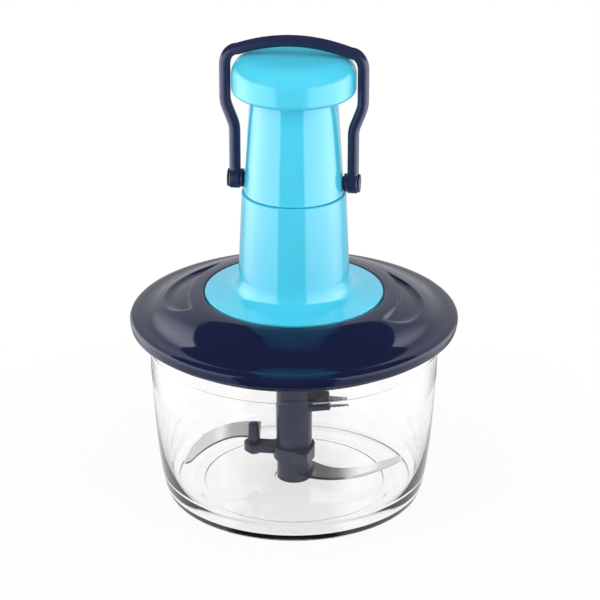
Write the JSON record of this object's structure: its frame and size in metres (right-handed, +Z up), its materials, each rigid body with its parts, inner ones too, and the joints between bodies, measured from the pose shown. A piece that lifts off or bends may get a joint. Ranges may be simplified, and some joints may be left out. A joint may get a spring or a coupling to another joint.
{
  "type": "press-down food chopper",
  "caption": "Hand-press food chopper: clear bowl, navy domed lid, turquoise telescoping plunger with mushroom head and swinging loop, twisted drive screw and a rotor of curved blades",
  "frame": {"origin": "Centre of the bowl's underside, on the plane that the bowl stands on", "axes": "+Z up along the common axis of bowl, rotor and plunger; +X along the pivot axis of the swinging loop, to the right when the two finger scoops of the lid are drawn out towards the back; +Y towards the back"},
  "size_m": [0.1794, 0.1794, 0.2616],
  "materials": {
    "clear_plastic": "clear thick moulded plastic, polished",
    "navy_plastic": "glossy opaque navy moulding",
    "turquoise_plastic": "glossy opaque turquoise moulding",
    "blade_steel": "mirror-polished stainless steel",
    "screw_steel": "bright drawn steel",
    "white_plastic": "natural low-friction plastic",
    "seal_rubber": "translucent silicone rubber"
  },
  "bodies": {
    "bowl": {"bowl": "clear_plastic"},
    "rotor": {"rotor_shaft": "navy_plastic", "blade_arm": "navy_plastic", "arm_post": "navy_plastic", "low_blade": "blade_steel", "high_blade": "blade_steel", "top_blade": "blade_steel"},
    "lid": {"lid": "navy_plastic", "lid_seal": "seal_rubber", "drive_bush": "white_plastic", "handle_column": "turquoise_plastic", "column_screw_1": "screw_steel", "column_screw_2": "screw_steel", "column_screw_3": "screw_steel", "column_screw_4": "screw_steel", "return_spring": "screw_steel"},
    "head": {"plunger_sleeve": "turquoise_plastic", "head_cap": "turquoise_plastic", "head_plate": "turquoise_plastic", "head_screw": "screw_steel", "drive_nut": "white_plastic", "nut_screw_1": "screw_steel", "nut_screw_2": "screw_steel", "pivot_boss_right": "navy_plastic", "pivot_pin_right": "navy_plastic", "pivot_boss_left": "navy_plastic", "pivot_pin_left": "navy_plastic"},
    "drive": {"drive_screw": "screw_steel", "drive_dog": "navy_plastic"},
    "loop": {"swing_loop": "navy_plastic"}
  },
  "joints": [
    {"name": "lid_lift", "type": "slide", "parent": "bowl", "child": "lid", "axis": [0, 0, 1], "range_m": [0, 0.12]},
    {"name": "head_slide", "type": "slide", "parent": "lid", "child": "head", "axis": [0, 0, 1], "range_m": [0, 0.042], "deforming": ["return_spring"]},
    {"name": "drive_spin", "type": "hinge", "parent": "lid", "child": "drive", "pos_m": [0, 0, 0.1], "axis": [0, 0, 1], "range_deg": [-1, 303.5]},
    {"name": "blade_spin", "type": "hinge", "parent": "bowl", "child": "rotor", "pos_m": [0, 0, 0.0035], "axis": [0, 0, 1], "range_deg": [-1, 303.5]},
    {"name": "loop_swing", "type": "hinge", "parent": "head", "child": "loop", "pos_m": [0, 0, 0.1812], "axis": [1, 0, 0], "range_deg": [-130, 130]}
  ],
  "couplings": [
    {"joint": "drive_spin", "follows": "head_slide", "rad_per_m": 125.66},
    {"joint": "blade_spin", "follows": "head_slide", "rad_per_m": 125.66}
  ]
}
